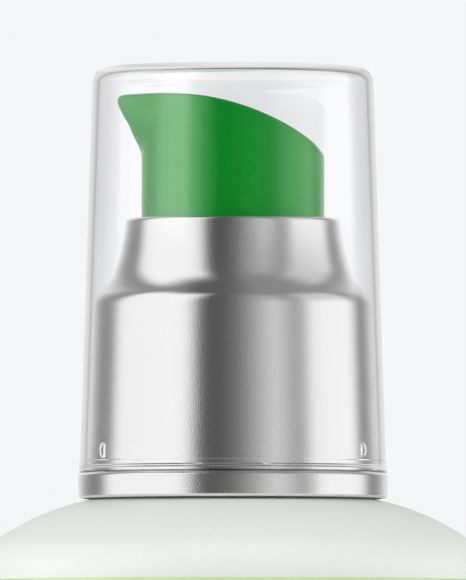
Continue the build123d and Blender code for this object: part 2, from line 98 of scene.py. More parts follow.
def node(tree, kind, inputs=None, **props):
    """Add a node, set its properties and its inputs; an input that is a socket is linked."""
    made = tree.nodes.new(kind)
    for key, value in props.items():
        setattr(made, key, value)
    for key, value in (inputs or {}).items():
        if isinstance(value, bpy.types.NodeSocket):
            tree.links.new(value, made.inputs[key])
        else:
            made.inputs[key].default_value = value
    return made


def ramp(tree, factor, stops):
    """Add a colour ramp with (place, colour or grey) stops and return its colour."""
    made = tree.nodes.new("ShaderNodeValToRGB")
    elements = made.color_ramp.elements
    while len(elements) < len(stops):
        elements.new(0.5)
    for element, (place, colour) in zip(elements, stops):
        element.position = place
        grey = (colour,) * 3 if isinstance(colour, (int, float)) else colour
        element.color = (*grey, 1.0)
    tree.links.new(factor, made.inputs["Fac"])
    return made.outputs["Color"]


def grain(tree, scale, stretch=(1, 1, 1), detail=2.0):
    """Add fine noise in the object's own coordinates and return its factor."""
    place = node(tree, "ShaderNodeTexCoord").outputs["Object"]
    spread = node(tree, "ShaderNodeMapping", {"Vector": place, "Scale": stretch}).outputs["Vector"]
    settings = {"Vector": spread, "Scale": scale, "Detail": detail}
    return node(tree, "ShaderNodeTexNoise", settings).outputs["Fac"]


def bump(tree, height, strength, distance):
    """Add a bump from a height and return its normal."""
    settings = {"Height": height, "Strength": strength, "Distance": distance}
    return node(tree, "ShaderNodeBump", settings).outputs["Normal"]


def combine(tree, operation, first, second):
    """Add a maths node and return its result."""
    return node(tree, "ShaderNodeMath", {0: first, 1: second}, operation=operation).outputs[0]


def share_between(tree, value, low, high, **props):
    """Return how far a value is from low to high, held between 0 and 1."""
    settings = {"Value": value, "From Min": low, "From Max": high}
    return node(tree, "ShaderNodeMapRange", settings, **props).outputs["Result"]


def mix_colours(tree, factor, first, second, blend_type="MIX"):
    """Mix two colours by a factor and return the result."""
    settings = {0: factor, 6: first, 7: second}
    mixed = node(tree, "ShaderNodeMix", settings, data_type="RGBA", blend_type=blend_type)
    return mixed.outputs[2]


def mix_shaders(tree, factor, first, second):
    """Mix two shaders by a factor and return the result."""
    return node(tree, "ShaderNodeMixShader", {0: factor, 1: first, 2: second}).outputs["Shader"]


def principled(tree, inputs):
    """Add a Principled shader with these inputs and return it."""
    return node(tree, "ShaderNodeBsdfPrincipled", inputs).outputs["BSDF"]


def finish_material(tree, out, shader):
    """Link a shader to the material's output."""
    tree.links.new(shader, out.inputs["Surface"])


def plastic(name, dark, light, roughness, scale=1500.0, weight=0.0, ior=1.5, tint=(1.0, 1.0, 1.0)):
    """A moulded plastic: two close tones and a very fine texture."""
    mat, tree, out = new_material(name)
    noise = grain(tree, scale)
    shader = principled(
        tree,
        {
            "Base Color": ramp(tree, noise, [(0.3, dark), (0.7, light)]),
            "Roughness": roughness,
            "IOR": ior,
            "Specular Tint": (*tint, 1.0),
            "Subsurface Weight": weight,
            "Subsurface Radius": (0.003, 0.003, 0.003),
            "Subsurface Scale": 0.5,
            "Normal": bump(tree, noise, strength=0.12, distance=0.02 * MM),
        },
    )
    finish_material(tree, out, shader)
    return mat


def satin_aluminium():
    """Blasted and anodised aluminium."""
    mat, tree, out = new_material("satin_aluminium")
    noise = grain(tree, 9000.0)
    shader = principled(
        tree,
        {
            "Base Color": ramp(tree, noise, [(0.3, 0.88), (0.7, 0.93)]),
            "Metallic": 1.0,
            "Roughness": 0.17,
            "Normal": bump(tree, noise, strength=0.8, distance=0.01 * MM),
        },
    )
    finish_material(tree, out, shader)
    return mat


def steel_wire():
    """Drawn spring wire."""
    mat, tree, out = new_material("spring_steel")
    noise = grain(tree, 900.0, (1, 1, 4))
    tone = ramp(tree, noise, [(0.3, 0.45), (0.7, 0.56)])
    shader = principled(tree, {"Base Color": tone, "Metallic": 1.0, "Roughness": 0.3})
    finish_material(tree, out, shader)
    return mat


def see_through(tree, glass, trapped):
    """Let light that comes off the pieces inside pass straight through the glass wall.

    A path that is between the wall's two skins has been let through an odd number of skins, and it
    keeps to the glass, unless it is trapped there (trapped is 1)."""
    path = node(tree, "ShaderNodeLightPath").outputs
    bounced = combine(tree, "MAXIMUM", path["Is Diffuse Ray"], path["Is Reflection Ray"])
    bounced = combine(tree, "MAXIMUM", bounced, path["Is Shadow Ray"])
    inside_wall = combine(tree, "MODULO", path["Transmission Depth"], 2.0)
    outside_wall = combine(tree, "SUBTRACT", 1.0, inside_wall)
    passing = combine(tree, "MULTIPLY", bounced, outside_wall)
    passing = combine(tree, "MAXIMUM", passing, trapped)
    clear = node(tree, "ShaderNodeBsdfTransparent").outputs["BSDF"]
    return mix_shaders(tree, passing, glass, clear)


def clear_plastic():
    """Clear styrene of the over-cap, with the faintest moulding haze.

    It shines less round the metal than above it, and a painted shade darkens its foot where it meets the
    ring."""
    mat, tree, out = new_material("clear_plastic")
    haze = grain(tree, 60.0)
    coordinates = node(tree, "ShaderNodeTexCoord").outputs["Object"]
    place = node(tree, "ShaderNodeSeparateXYZ", {"Vector": coordinates}).outputs
    # The second height is how far up from the foot the painted shade reaches.
    shine_fade, painted_shade_high = 2.5 * MM, 0.18 * MM
    above_collar = share_between(tree, place["Z"], collar_top - shine_fade, collar_top)
    foot = cap_z - FOOT_DROP
    above_foot = share_between(tree, place["Z"], foot, foot + painted_shade_high)
    # Painted shade: the base colour is darkened to 0.2 over the lowest part of the foot, where the cap
    # meets the ring.
    painted_foot_shade = ramp(tree, above_foot, [(0.0, 0.2), (0.6, 0.2), (1.0, 1.0)])
    tone = ramp(tree, haze, [(0.3, 0.967), (0.7, 0.975)])
    glass = principled(
        tree,
        {
            "Base Color": mix_colours(tree, 1.0, tone, painted_foot_shade, "MULTIPLY"),
            "Roughness": 0.0,
            "IOR": 1.5,
            "Transmission Weight": 1.0,
            "Specular Tint": ramp(tree, above_collar, [(0.0, 0.32), (1.0, 1.0)]),
        },
    )

    # A path that has gone round inside the wall leaves it at the outer skin: the side is told by its
    # distance from the axis, set right for the wall's slope, and the top by its height.
    squares = [combine(tree, "MULTIPLY", place[axis], place[axis]) for axis in ("X", "Y")]
    reach = combine(tree, "SQRT", combine(tree, "ADD", *squares), 0.0)
    upright_reach = combine(tree, "ADD", reach, combine(tree, "MULTIPLY", place["Z"], -CAP_SLOPE))
    under_side, under_top = 0.35 * MM, 0.45 * MM
    outer_side = combine(tree, "GREATER_THAN", upright_reach, cap_r - CAP_SLOPE * cap_z - under_side)
    outer_top = combine(tree, "GREATER_THAN", place["Z"], cap_top - under_top)
    outer_skin = combine(tree, "MAXIMUM", outer_side, outer_top)

    # The length of a path is its bounces, with a glossy bounce counted as several.
    glossy_worth, long_from = 4.0, 8.5
    path = node(tree, "ShaderNodeLightPath").outputs
    glossy = combine(tree, "MULTIPLY", path["Glossy Depth"], glossy_worth)
    length = combine(tree, "ADD", path["Ray Depth"], glossy)
    trapped = combine(tree, "MULTIPLY", combine(tree, "GREATER_THAN", length, long_from), outer_skin)
    finish_material(tree, out, see_through(tree, glass, trapped))
    return mat


def ball_glass():
    """Polished glass of the valve balls."""
    mat, tree, out = new_material("ball_glass")
    haze = grain(tree, 300.0)
    glass = principled(
        tree,
        {
            "Base Color": ramp(tree, haze, [(0.3, (0.86, 0.9, 0.89)), (0.7, (0.9, 0.94, 0.92))]),
            "Roughness": 0.03,
            "IOR": 1.5,
            "Transmission Weight": 1.0,
        },
    )
    finish_material(tree, out, glass)
    return mat


def frosted_glass():
    """Acid-frosted glass: mostly milky, with blurred sight through it and a fine grain."""
    mat, tree, out = new_material("frosted_glass")
    noise = grain(tree, 4200.0, detail=3.0)
    normal = bump(tree, noise, strength=0.3, distance=0.012 * MM)
    tone = ramp(tree, noise, [(0.3, (0.83, 0.85, 0.805)), (0.7, (0.87, 0.89, 0.845))])
    milk = principled(tree, {"Base Color": tone, "Roughness": 0.42, "Normal": normal})
    through = principled(
        tree,
        {
            "Base Color": (0.93, 0.945, 0.92, 1.0),
            "Roughness": 0.5,
            "IOR": 1.45,
            "Transmission Weight": 1.0,
            "Normal": normal,
        },
    )
    clearness = 0.25
    finish_material(tree, out, mix_shaders(tree, clearness, milk, through))
    return mat


def label_film():
    """Printed satin film: light green with a deeper foot band and two fine plain lines."""
    mat, tree, out = new_material("label_film")
    place = node(tree, "ShaderNodeTexCoord").outputs["Object"]
    height = node(tree, "ShaderNodeSeparateXYZ", {"Vector": place}).outputs["Z"]
    share = share_between(tree, height, label_low, label_high)
    light, deep, pale = (0.5, 0.63, 0.31), (0.1, 0.36, 0.08), (0.72, 0.84, 0.56)
    stops = [
        (0.0, deep), (0.155, deep), (0.16, light), (0.185, light), (0.187, pale), (0.197, pale),
        (0.199, light), (0.9, light), (0.902, pale), (0.908, pale), (0.91, light), (1.0, light),
    ]
    printed = ramp(tree, share, stops)
    noise = grain(tree, 700.0)
    tone = ramp(tree, noise, [(0.3, 0.95), (0.7, 1.0)])
    shader = principled(
        tree,
        {
            "Base Color": mix_colours(tree, 1.0, printed, tone, "MULTIPLY"),
            "Roughness": 0.38,
            "Normal": bump(tree, noise, strength=0.1, distance=0.02 * MM),
        },
    )
    finish_material(tree, out, shader)
    return mat


# ---------------------------------------------------------------- mesh helpers


def mesh_object(name, verts, faces, mat, body, slot):
    """Make a smooth-shaded object from vertices and faces, and ride it on a body."""
    mesh = bpy.data.meshes.new(name)
    mesh.from_pydata([tuple(v) for v in verts], [], faces)
    mesh.validate()
    mesh.materials.append(mat)
    mesh.polygons.foreach_set("use_smooth", [True] * len(mesh.polygons))
    mesh.set_sharp_from_angle(angle=SHARP)
    obj = bpy.data.objects.new(name, mesh)
    bpy.context.scene.collection.objects.link(obj)
    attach(obj, body)
    return obj


def arc(centre, radius, start, end, steps):
    """Return points of an arc in the (radius, height) plane; angles in degrees from the +r axis."""
    angles = np.radians(np.linspace(start, end, steps + 1))
    return [(centre[0] + radius * cos(a), centre[1] + radius * sin(a)) for a in angles]


def circle_through(a, b, c):
    """Return the centre and radius of the circle through three points."""
    rows = [[2 * (q[0] - p[0]), 2 * (q[1] - p[1])] for p, q in ((a, b), (b, c))]
    right = [q[0] ** 2 + q[1] ** 2 - p[0] ** 2 - p[1] ** 2 for p, q in ((a, b), (b, c))]
    centre = np.linalg.solve(rows, right)
    return centre, dist(centre, a)


def through(a, b, c, steps):
    """Return points from a to c along the circle through a, b and c."""
    centre, radius = circle_through(a, b, c)
    first = atan2(a[1] - centre[1], a[0] - centre[0])
    last = atan2(c[1] - centre[1], c[0] - centre[0])
    turn = (last - first + pi) % (2 * pi) - pi
    angles = [first + turn * i / steps for i in range(steps + 1)]
    return [(centre[0] + radius * cos(angle), centre[1] + radius * sin(angle)) for angle in angles]


def line(a, b, steps):
    """Return points from a to b on a straight line."""
    return [(a[0] + (b[0] - a[0]) * i / steps, a[1] + (b[1] - a[1]) * i / steps) for i in range(steps + 1)]


def join(*runs):
    """Join runs of points, dropping repeats."""
    points = []
    for run in runs:
        for point in run:
            if not points or dist(points[-1], point) > SAME_POINT:
                points.append(point)
    if dist(points[0], points[-1]) < SAME_POINT:
        points.pop()
    return points


def dome(edge_r, low, high, radii):
    """Return points, at these radii, of a shallow dome from high on the axis down to low at edge_r."""
    rise = high - low
    dome_r = (edge_r * edge_r + rise * rise) / (2 * rise)
    return [(r, high - dome_r + sqrt(dome_r * dome_r - r * r)) for r in radii]


def lathe(points, around=AROUND, start=0.0, span=360.0, reshape=None):
    """Turn a closed (radius, height) outline round the Z axis and return its vertices and faces.

    The outline is counter-clockwise seen with +r to the right; start and span are in degrees, and
    reshape may change the radius of a point."""
    full = span >= 360.0
    columns = around if full else around + 1
    angles = np.radians(start + span * np.arange(columns) / around)
    verts, index = [], []
    for radius, height in points:
        if radius < ON_AXIS:
            index.append([len(verts)] * columns)
            verts.append((0.0, 0.0, height))
            continue
        index.append(list(range(len(verts), len(verts) + columns)))
        for angle in angles:
            reach = radius if reshape is None else reshape(radius, height, angle)
            verts.append((reach * cos(angle), reach * sin(angle), height))
    faces, rows = [], len(points)
    for row in range(rows):
        low, high = index[row], index[(row + 1) % rows]
        if low[0] == low[-1] and high[0] == high[-1]:
            continue
        for column in range(around):
            after = (column + 1) % columns
            quad = [low[column], low[after], high[after], high[column]]
            faces.append(list(dict.fromkeys(quad)))
    if not full:
        faces.append([index[row][0] for row in range(rows)])
        faces.append([index[row][-1] for row in reversed(range(rows))])
    return verts, faces


# ---------------------------------------------------------------- turned pieces


def bottle_outline(depth, floor, heel, neck):
    """Return the bottle's outline moved inward by depth (in mm), from the base centre to the neck's rim.

    Above the upright body a small arc eases into the shoulder's wide arc, and a soft corner leads
    from there to the neck."""
    wide_r, wide = (20.56 - depth) * MM, (7.24 * MM, neck_z - 31.8 * MM)
    ease_r, body = (3.42 - depth) * MM, body_r - depth * MM
    meet_angle = 55.5  # where the two arcs meet, in degrees up from the +r axis
    lean = radians(meet_angle)
    meet = (wide[0] + wide_r * cos(lean), wide[1] + wide_r * sin(lean))
    ease = (meet[0] - ease_r * cos(lean), meet[1] - ease_r * sin(lean))
    neck_angle = degrees(acos((neck - wide[0]) / wide_r))
    corner_angle = neck_angle - 2.6  # the wide arc stops short of the neck
    foot = (neck, wide[1] + wide_r * sin(radians(neck_angle)))
    soft = 1.0 * MM
    corner_start = (foot[0] + soft, foot[1] - 0.1 * MM)
    corner_middle = (foot[0] + 0.3 * soft, foot[1] + 0.24 * soft)
    corner_end = (foot[0], foot[1] + soft)
    return join(
        line((0, floor), (body - heel, floor), 12),
        arc((body - heel, floor + heel), heel, -90, 0, 14),
        line((body, floor + heel), (body, ease[1]), 24),
        arc(ease, ease_r, 0, meet_angle, 12),
        arc(wide, wide_r, meet_angle, corner_angle, 34),
        through(corner_start, corner_middle, corner_end, 8),
        line(corner_end, (neck, neck_z), 8),
    )


def build_bottle(mat):
    """Bottle body and neck, with a shallow hollow under the base."""
    heel, floor, bore_r = 2.6 * MM, 6.0 * MM, 6.9 * MM
    wall = 2.4  # in mm
    rim, rise = body_r - 3.8 * MM, 0.7 * MM
    on_base = 1e-6  # outline points lower than this lie on the base
    under = dome(rim, 0.0, rise, np.linspace(0, rim, 14))
    outer = [p for p in bottle_outline(0.0, 0.0, heel, NECK_R) if p[1] > on_base or p[0] > rim]
    inner = bottle_outline(wall, floor, heel, bore_r)
    outline = join(under, outer, list(reversed(inner)))
    return mesh_object("bottle_glass", *lathe(outline), mat, "container", "frosted_glass")


def build_thread(mat):
    """One and a half turns of ridge round the neck."""
    pitch, turns, per_turn = 3.175 * MM, 1.5, 96
    section = [(-0.2, -0.95), (1.05, -0.45), (1.05, 0.45), (-0.2, 0.95)]  # out and up, in mm
    low = neck_z - 7.4 * MM  # where the ridge's middle starts
    end_share = 12  # the ridge fades over one part in this many of its length at each end
    verts, faces = [], []
    count = int(turns * per_turn) + 1
    for i in range(count):
        angle = 2 * pi * i / per_turn
        fade = min(1.0, end_share * i / count, end_share * (count - 1 - i) / count)
        for out, up in section:
            reach = NECK_R + (out * fade if out > 0 else out) * MM
            verts.append((reach * cos(angle), reach * sin(angle), low + pitch * i / per_turn + up * MM))
    for i in range(count - 1):
        for k in range(4):
            a, b = 4 * i + k, 4 * i + (k + 1) % 4
            faces.append([a, a + 4, b + 4, b])
    faces.append([3, 2, 1, 0])
    faces.append([4 * count - 4, 4 * count - 3, 4 * count - 2, 4 * count - 1])
    return mesh_object("neck_thread", verts, faces, mat, "container", "frosted_glass")


def build_label(mat):
    """Wrap-round label whose two ends stop a narrow gap apart at the back."""
    soft = 0.02 * MM
    gap = 4.0  # degrees left open at the back, round +Y
    outline = [
        (body_r, label_low), (label_r - soft, label_low), (label_r, label_low + soft),
        (label_r, label_high - soft), (label_r - soft, label_high), (body_r, label_high),
    ]
    verts, faces = lathe(outline, around=2 * AROUND, start=90.0 + 0.5 * gap, span=360.0 - gap)
    return mesh_object("label_wrap", verts, faces, mat, "container", "label_film")


def collar_outline(depth, lip_hole):
    """Return the collar's outline moved inward by depth (in mm), from the ring's foot to the lip's hole.

    Above the ring the body leans in to its head; there the outline turns in by a small arc, and then
    curves the other way by a low arc and a high one until the lip turns in to its hole."""
    ring, ring_top = ring_r - depth * MM, ring_z + (2.0 - depth) * MM
    ring_soft = 0.28 * MM if depth == 0 else 0.05 * MM
    foot_r = (11.5 - depth) * MM
    corner, corner_middle = 0.12 * MM, 0.035 * MM
    steep, upright = radians(44.0), radians(19.5)
    turn, low, high = (1.5 - depth) * MM, (4.4 + depth) * MM, (16.6 + depth) * MM
    turn_centre = (9.56 * MM, ring_z + 15.3 * MM)
    low_away, straight, high_away = 5.9 * MM, 0.3 * MM, 12.2 * MM
    low_centre = (
        turn_centre[0] + low_away * cos(steep) - straight * sin(steep),
        turn_centre[1] + low_away * sin(steep) + straight * cos(steep),
    )
    high_centre = (low_centre[0] + high_away * cos(upright), low_centre[1] + high_away * sin(upright))
    lip_top, lip_turn = collar_top - depth * MM, max(0.38 - depth, 0.06) * MM
    lip_tilt = asin((high_centre[1] - lip_top + lip_turn) / high)
    lip_r = high_centre[0] - high * cos(lip_tilt)
    body_foot = (foot_r, ring_top + corner)
    between = (foot_r + corner_middle, ring_top + corner_middle)
    return join(
        arc((ring - ring_soft, ring_z + ring_soft), ring_soft, -90, 0, 8),
        line((ring, ring_z + ring_soft), (ring, ring_top - ring_soft), 40),
        arc((ring - ring_soft, ring_top - ring_soft), ring_soft, 0, 90, 8),
        line((ring - ring_soft, ring_top), (foot_r + corner, ring_top), 4),
        through((foot_r + corner, ring_top), between, body_foot, 4),
        line(body_foot, (turn_centre[0] + turn, turn_centre[1]), 60),
        arc(turn_centre, turn, 0, degrees(steep), 14),
        arc(low_centre, low, 180 + degrees(steep), 180 + degrees(upright), 16),
        arc(high_centre, high, 180 + degrees(upright), 180 + degrees(lip_tilt), 24),
        arc((lip_r - lip_turn, lip_top - lip_turn), lip_turn, 0, 90, 7),
        line((lip_r - lip_turn, lip_top), (lip_hole, lip_top), 2),
    )


def build_collar(mat):
    """Drawn collar, one skin with its base ring and the lip round the actuator."""
    hole_r = 7.45 * MM
    skin = 0.4  # in mm
    outer = collar_outline(0.0, hole_r)
    inner = collar_outline(skin, hole_r)
    verts, faces = lathe(join(outer, list(reversed(inner))))
    return mesh_object("collar_skin", verts, faces, mat, "closure", "satin_aluminium")


def build_cap(mat):
    """Over-cap with a stepped rim, a bead, a rounded crown and three grip ribs inside."""
    foot, foot_r = cap_z - FOOT_DROP, cap_r - 0.06 * MM
    edge_z, edge_r, turn = cap_top - 1.45 * MM, foot_r - 1.0 * MM, 1.3 * MM  # the rounded top edge
    crown_r = edge_r - turn
    inside_low, inside_high = cap_top - 0.75 * MM, cap_top - 0.6 * MM  # the inner skin of the top

    def outer_r(height):
        return foot_r + CAP_SLOPE * (height - cap_z)

    low_step_r, low_step = 11.93 * MM, cap_z + 0.3 * MM
    high_step_r, high_step = 11.8 * MM, cap_z + 0.48 * MM
    wall_r = outer_r(high_step) - CAP_WALL
    soft = 0.05 * MM
    bead_top, bead_down, bead_out = cap_z + 0.9 * MM, 0.06 * MM, 0.055 * MM
    outer_band, inner_band = cap_z + 2.4 * MM, cap_z + 2.5 * MM  # the walls have finer rows below these
    outline = join(
        [(cap_r - soft, foot), (cap_r, foot + soft)],
        [(outer_r(bead_top) + bead_out, bead_top - bead_down), (outer_r(bead_top), bead_top)],
        line((outer_r(bead_top), bead_top), (outer_r(outer_band), outer_band), 8),
        line((outer_r(outer_band), outer_band), (edge_r, edge_z), 24),
        arc((crown_r, edge_z), turn, 0, 90, 12),
        dome(crown_r, edge_z + turn, cap_top, np.linspace(crown_r, 0, 16)),
        list(reversed(dome(crown_r, inside_low, inside_high, np.linspace(crown_r, 0, 16)))),
        arc((crown_r, edge_z), turn - CAP_WALL, 90, 0, 10),
        line((edge_r - CAP_WALL, edge_z), (wall_r, inner_band), 24),
        line((wall_r, inner_band), (wall_r, high_step + soft), 60),
        [(wall_r + soft, high_step), (high_step_r - soft, high_step), (high_step_r, high_step - soft)],
        [(high_step_r, low_step + soft), (high_step_r + soft, low_step)],
        [(low_step_r - soft, low_step), (low_step_r, low_step - soft)],
        [(low_step_r, foot + soft), (low_step_r + soft, foot)],
    )
    rib_z, rib_half, rib_wide, rib_deep = cap_z + 1.63 * MM, 0.62 * MM, 0.46 * MM, 0.2 * MM
    apart = 120.0  # degrees from rib to rib
    round_steep, flat_steep = 6.0, 14.0  # how sharply a rib's round and flat sides rise

    def with_ribs(radius, height, angle):
        """Press the inner wall in where a rib is.

        A rib is half an oval, and the two in front have their flat sides toward each other."""
        if radius > wall_r + SAME_POINT or abs(height - rib_z) > 1.2 * rib_half:
            return radius
        from_rib = (degrees(angle) - 90.0 + 0.5 * apart) % apart - 0.5 * apart
        side = from_rib if degrees(angle) % 360 > 270 else -from_rib
        across = radius * radians(side) / rib_wide
        inside = 1.0 - ((height - rib_z) / rib_half) ** 2 - max(across, 0.0) ** 2
        rounded = min(1.0, max(0.0, round_steep * inside))
        flat = min(1.0, max(0.0, 1.0 + flat_steep * across))
        return radius - rib_deep * (rounded * flat)

    verts, faces = lathe(outline, around=900, reshape=with_ribs)
    return mesh_object("over_cap_clear", verts, faces, mat, "cap", "clear_plastic")


# ---------------------------------------------------------------- actuator

# The button's crown from its back to the beak's end: x, and height above the button's foot, in mm.
CROWN = [
    (7.5, 7.95), (6.18, 9.16), (3.78, 10.6), (0.9, 11.8),
    (-1.98, 12.55), (-4.86, 12.87), (-7.8, 12.94), (-10.5, 12.94),
]
CROWN_END = 1.15  # the crown falls this much steeper at its back than its last two points say
CHIN = 8.34  # height where the beak starts to lean out, in mm
BLEND = 0.5  # the lean comes in over this far below and above the chin, in mm
LEAN = 0.508  # how far the beak leans out with height
TIP = 2.0  # radius of the beak's tip, seen from above, in mm


def crown_height(x):
    """Return the actuator's top, in mm above its foot, at x mm: a smooth curve through CROWN."""
    knots = sorted(CROWN)
    xs, zs = [k[0] for k in knots], [k[1] for k in knots]
    slopes = [0.0] * len(xs)
    for i in range(1, len(xs) - 1):
        slopes[i] = (zs[i + 1] - zs[i - 1]) / (xs[i + 1] - xs[i - 1])
    slopes[0], slopes[1] = 0.0, 0.0
    slopes[-1] = (zs[-1] - zs[-2]) / (xs[-1] - xs[-2]) * CROWN_END
    x = min(max(x, xs[0]), xs[-1])
    i = min(int(np.searchsorted(xs, x, side="right")) - 1, len(xs) - 2)
    width = xs[i + 1] - xs[i]
    t = (x - xs[i]) / width
    h00, h10 = 2 * t**3 - 3 * t**2 + 1, t**3 - 2 * t**2 + t
    h01, h11 = -2 * t**3 + 3 * t**2, t**3 - t**2
    return h00 * zs[i] + h10 * width * slopes[i] + h01 * zs[i + 1] + h11 * width * slopes[i + 1]


def wall_reach(away, height):
    """Return the actuator's outside radius, in mm, at an angle away from the beak and a height."""
    radius, rise = head_r / MM, height - CHIN
    if rise > BLEND:
        beak = radius + LEAN * rise
    elif rise > -BLEND:
        beak = radius + LEAN * (rise + BLEND) ** 2 / (4 * BLEND)
    else:
        return radius
    tip = beak - TIP
    flank = acos(min((radius - TIP) / tip, 1.0))
    tip_edge = atan2(TIP * sin(flank), tip + TIP * cos(flank))
    if away >= flank:
        return radius
    if away > tip_edge:
        return radius / cos(flank - away)
    return tip * cos(away) + sqrt(max(TIP**2 - (tip * sin(away)) ** 2, 0.0))


def actuator_columns(around):
    """Return, for each angle, the outside run from the foot over the rounded edge to the crown's centre.

    The runs are in mm. At each angle the wall meets the crown at a corner, found by halving, and the
    corner is rounded off, most of all at the beak's tip."""
    foot_soft, halvings = 0.12, 40
    edge_round, tip_round, tip_wide = 0.42, 0.75, 0.42  # the last one is in radians
    columns = []
    for i in range(around):
        angle = 2 * pi * i / around
        away = abs(pi - angle)
        side = cos(angle)
        low, high = 6.0, 13.5
        for _ in range(halvings):
            middle = 0.5 * (low + high)
            if middle < crown_height(wall_reach(away, middle) * side):
                low = middle
            else:
                high = middle
        corner = (wall_reach(away, low), low)
        rounding = edge_round + tip_round * exp(-((away / tip_wide) ** 2))
        outer = (wall_reach(away, low - rounding), low - rounding)
        inner = (corner[0] - rounding, crown_height((corner[0] - rounding) * side))
        heights = [0.0, foot_soft, 1.5, 3.0, 4.5, 6.0, *np.linspace(7.0, outer[1], 26)]
        run = [(wall_reach(away, h) - (foot_soft if h == 0.0 else 0.0), h) for h in heights]
        for step in range(1, 10):
            t = step / 10
            p, q, r = (1 - t) ** 2, 2 * t * (1 - t), t * t
            run.append(tuple(p * outer[k] + q * corner[k] + r * inner[k] for k in (0, 1)))
        for share in np.linspace(1.0, 0.0, 22)[:-1]:
            run.append((inner[0] * share, crown_height(inner[0] * share * side)))
        columns.append((angle, run))
    return columns


def build_actuator(mat):
    """Hollow button with a beak and its stem socket."""
    around = 288
    columns = actuator_columns(around)
    rows = len(columns[0][1])
    verts = []
    for angle, run in columns:
        for reach, height in run:
            verts.append((reach * MM * cos(angle), reach * MM * sin(angle), head_z + height * MM))
    roof, socket_foot = 7.6, 1.8  # heights in the hollow, in mm
    inside = [(6.5, 0.0), (6.5, roof), (3.9, roof), (3.9, socket_foot), (2.43, socket_foot), (2.43, roof)]
    start = len(verts)
    for angle, _ in columns:
        for reach, height in inside:
            verts.append((reach * MM * cos(angle), reach * MM * sin(angle), head_z + height * MM))
    top, ceiling = len(verts), len(verts) + 1
    verts += [(0.0, 0.0, head_z + crown_height(0.0) * MM), (0.0, 0.0, head_z + roof * MM)]
    faces, deep = [], len(inside)
    for i in range(around):
        j = (i + 1) % around
        for row in range(rows - 1):
            a, b = i * rows + row, j * rows + row
            faces.append([a, b, b + 1, a + 1])
        faces.append([i * rows + rows - 1, j * rows + rows - 1, top])
        for row in range(deep - 1):
            a, b = start + i * deep + row, start + j * deep + row
            faces.append([a, a + 1, b + 1, b])
        faces.append([start + i * deep + deep - 1, ceiling, start + j * deep + deep - 1])
        faces.append([i * rows, start + i * deep, start + j * deep, j * rows])
    return mesh_object("actuator_head", verts, faces, mat, "head", "green_plastic")


def cut_bore(obj, front, back, height, radius):
    """Cut a level round hole along X in a mesh, from front to back, and mark its edge as sharp."""
    bpy.ops.mesh.primitive_cylinder_add(
        vertices=64,
        radius=radius,
        depth=front - back,
        rotation=(0, pi / 2, 0),
        location=(0.5 * (front + back), 0, height),
    )
    cutter = bpy.context.object
    modifier = obj.modifiers.new("bore", "BOOLEAN")
    modifier.operation = "DIFFERENCE"
    modifier.solver = "EXACT"
    modifier.object = cutter
    cut = bpy.data.meshes.new_from_object(obj.evaluated_get(bpy.context.evaluated_depsgraph_get()))
    obj.modifiers.clear()
    bpy.data.objects.remove(cutter)
    cut.polygons.foreach_set("use_smooth", [True] * len(cut.polygons))
    cut.set_sharp_from_angle(angle=SHARP)
    obj.data = cut


# ---------------------------------------------------------------- spring


def build_spring(mat):
    """Return spring with closed end coils."""
    wire, radius = 0.23 * MM, 2.7 * MM  # radius of the wire and of the coil
    per_turn, ring = 40, 10  # steps along a turn and round the wire
    low, high = spring_low + wire, spring_high - wire
    closed, active = 1.0, 4.0
    total = active + 2 * closed
    pitch = 2.1 * wire  # the closed coils almost touch
    climb = (high - low - 2 * closed * pitch) / active
    centres = []
    for i in range(int(total * per_turn) + 1):
        turn = i / per_turn
        rise = pitch * min(turn, closed) + climb * min(max(turn - closed, 0.0), active)
        rise += pitch * max(turn - closed - active, 0.0)
        angle = 2 * pi * turn
        centres.append((radius * cos(angle), radius * sin(angle), low + rise, angle))
    verts, faces = [], []
    for x, y, z, angle in centres:
        for k in range(ring):
            around = 2 * pi * k / ring
            out, up = wire * cos(around), wire * sin(around)
            verts.append((x + out * cos(angle), y + out * sin(angle), z + up))
    for i in range(len(centres) - 1):
        for k in range(ring):
            a, b = i * ring + k, i * ring + (k + 1) % ring
            faces.append([a, a + ring, b + ring, b])
    faces.append(list(range(ring)))
    faces.append([(len(centres) - 1) * ring + k for k in reversed(range(ring))])
    return mesh_object("coil_spring", verts, faces, mat, "pump", "spring_steel")


# ---------------------------------------------------------------- materials on the CAD nodes

metal = satin_aluminium()
frost = frosted_glass()
clear = clear_plastic()
green = plastic(
    "green_plastic", (0.0002, 0.185, 0.011), (0.0005, 0.205, 0.015), 0.22, ior=1.85, tint=(0.25, 1.0, 0.35)
)
white = plastic("white_plastic", 0.78, 0.83, 0.32)
natural = plastic("natural_plastic", (0.7, 0.72, 0.71), (0.77, 0.78, 0.77), 0.4, weight=0.3)
tube = plastic("tube_plastic", (0.68, 0.7, 0.69), (0.76, 0.78, 0.77), 0.35, weight=0.3)
wiper = plastic("piston_plastic", (0.72, 0.74, 0.76), (0.78, 0.8, 0.82), 0.45)
foam = plastic("gasket_foam", 0.7, 0.82, 0.8, scale=5000.0)
balls = ball_glass()
wire = steel_wire()
film = label_film()

looks = {
    "frosted_glass": frost, "label_film": film, "gasket_foam": foam, "natural_plastic": natural,
    "white_plastic": white, "ball_glass": balls, "tube_plastic": tube, "spring_steel": wire,
    "piston_plastic": wiper, "satin_aluminium": metal, "green_plastic": green, "clear_plastic": clear,
}
for part in frame["record"]["subparts"]:
    shown = frame["nodes"][part["node"]]
    shown.data.materials.clear()
    shown.data.materials.append(looks[part["material_slot"]])

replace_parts(build_bottle(frost), "bottle")
build_thread(frost)
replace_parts(build_label(film), "label")
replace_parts(build_collar(metal), "collar_shell")
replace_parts(build_cap(clear), "over_cap")
button = build_actuator(green)
nozzle_low, nozzle_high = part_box("nozzle_insert")
nozzle_z = 0.5 * (nozzle_low.z + nozzle_high.z)
nozzle_r = 0.5 * (nozzle_high.z - nozzle_low.z)
cut_bore(button, nozzle_high.x, nozzle_low.x - 3 * MM, nozzle_z, nozzle_r)
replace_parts(button, "actuator")
coil = build_spring(wire)
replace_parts(coil, "return_spring")
